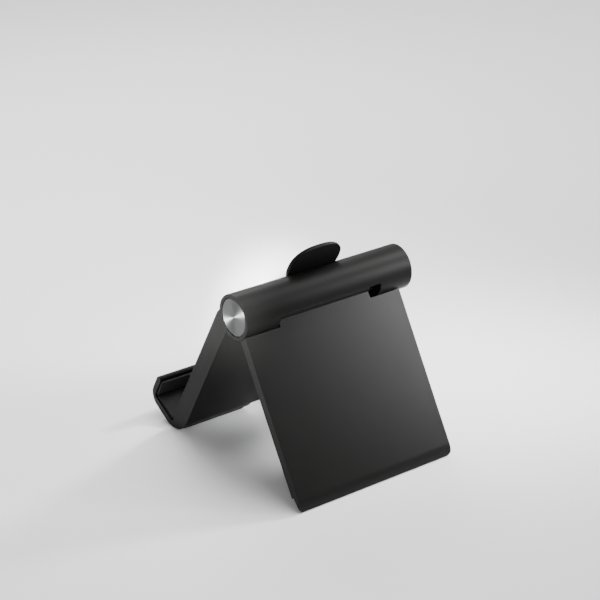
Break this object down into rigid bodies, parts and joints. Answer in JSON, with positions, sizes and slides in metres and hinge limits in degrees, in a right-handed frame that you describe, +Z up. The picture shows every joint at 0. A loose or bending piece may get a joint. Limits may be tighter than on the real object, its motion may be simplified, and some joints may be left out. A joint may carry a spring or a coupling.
{
  "type": "tablet stand",
  "caption": "Folding desk stand for a tablet: a padded holder plate with two hooks and a hinge barrel, and a rear leg on a friction hinge.",
  "frame": {"origin": "on the surface that the stand rests on, under the centre of its box at the stored opening", "axes": "+X to the right of a person facing the screen, along the hinge; +Y to the rear; +Z up"},
  "size_m": [0.0854, 0.1074, 0.0923],
  "materials": {
    "charcoal_plastic": "fine matt moulded plastic, charcoal black",
    "silicone": "matt black silicone",
    "spun_aluminium": "spun, fine circular brushing",
    "plated_steel": "zinc plated",
    "acetal": "black acetal",
    "spring_steel": "blued spring steel"
  },
  "bodies": {
    "holder": {"holder_shell": "charcoal_plastic", "front_cover": "charcoal_plastic", "face_pad": "silicone", "tongue_pad": "silicone", "hook_floor_pad_left": "silicone", "hook_lip_pad_left": "silicone", "hook_floor_pad_right": "silicone", "hook_lip_pad_right": "silicone", "base_pad_left": "silicone", "base_pad_right": "silicone", "cover_screw_1": "plated_steel", "cover_screw_2": "plated_steel", "cover_screw_3": "plated_steel", "cover_screw_4": "plated_steel", "hinge_shaft": "plated_steel", "lock_nut": "plated_steel", "thrust_washer": "acetal", "friction_washer": "acetal", "spring_washer_1": "spring_steel", "spring_washer_2": "spring_steel", "end_cap_left": "spun_aluminium", "end_cap_right": "spun_aluminium"},
    "leg": {"leg_shell": "charcoal_plastic", "leg_cover": "charcoal_plastic", "stiffener_plate": "plated_steel", "foot_strip": "silicone", "leg_screw_1": "plated_steel", "leg_screw_2": "plated_steel", "leg_screw_3": "plated_steel", "leg_screw_4": "plated_steel", "hinge_bush_left": "acetal", "hinge_bush_right": "acetal"}
  },
  "joints": [
    {"name": "leg_fold", "type": "hinge", "parent": "holder", "child": "leg", "pos_m": [0, 0.00953, 0.07062], "axis": [1, 0, 0], "range_deg": [-60.1, 34.9]}
  ]
}
